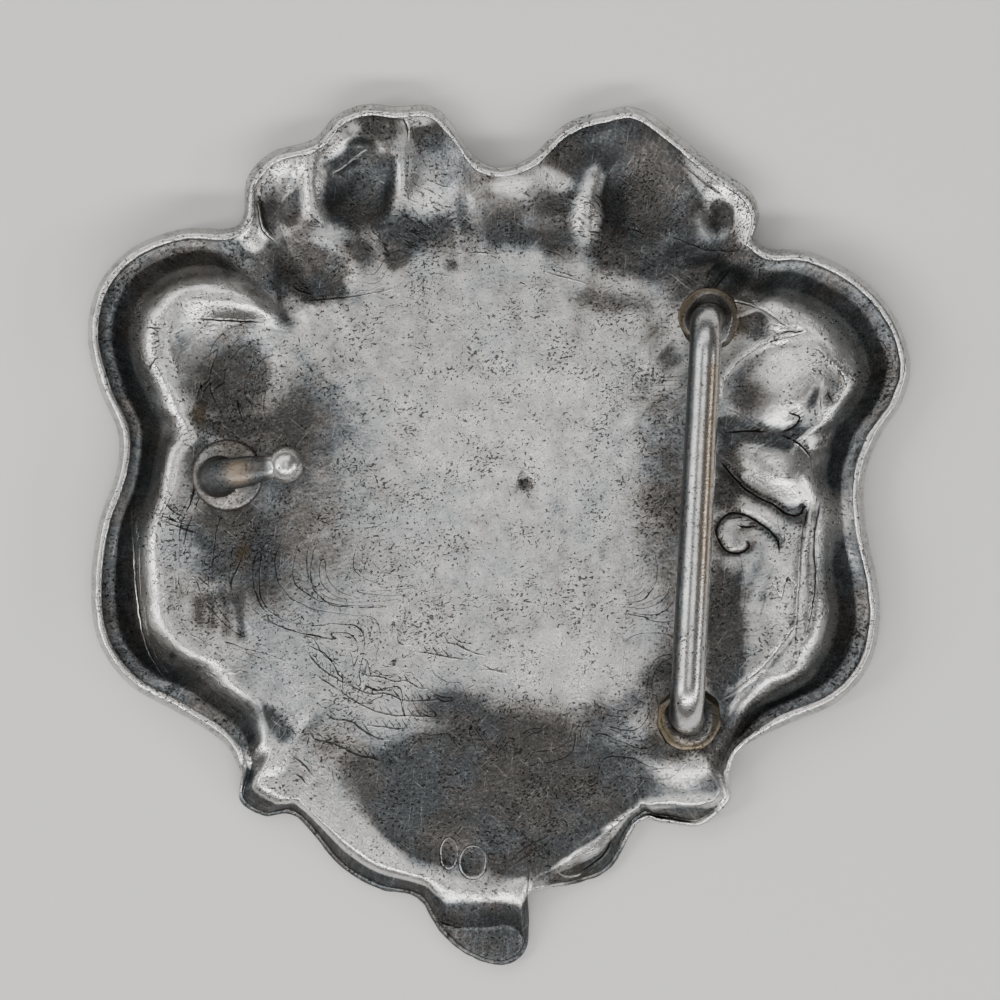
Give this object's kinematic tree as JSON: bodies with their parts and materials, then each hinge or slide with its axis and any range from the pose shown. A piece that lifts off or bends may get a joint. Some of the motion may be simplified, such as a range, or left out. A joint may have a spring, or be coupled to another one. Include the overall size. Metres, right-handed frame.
{
  "type": "belt buckle",
  "caption": "Pressed silver belt buckle with a scalloped floral outline, a fixed wire bar for the belt and a stud hook on its back.",
  "frame": {"origin": "middle of the bottom of the buckle's box, on the surface that its face lies on", "axes": "+X across the belt from the hook to the bar, +Y up the buckle, +Z out of its back"},
  "size_m": [0.0726, 0.076, 0.0127],
  "materials": {
    "sheet_silver": "worn pressed silver, grey in the middle, dark tarnish in its channels and hollows, bright on its crests",
    "bar_silver": "polished round wire with brown wear stripes and brown solder round its feet",
    "hook_silver": "bright worn silver with a tan worn top and a rough foot"
  },
  "bodies": {
    "root": {"plate": "sheet_silver", "belt_bar": "bar_silver", "hook": "hook_silver"}
  },
  "joints": []
}
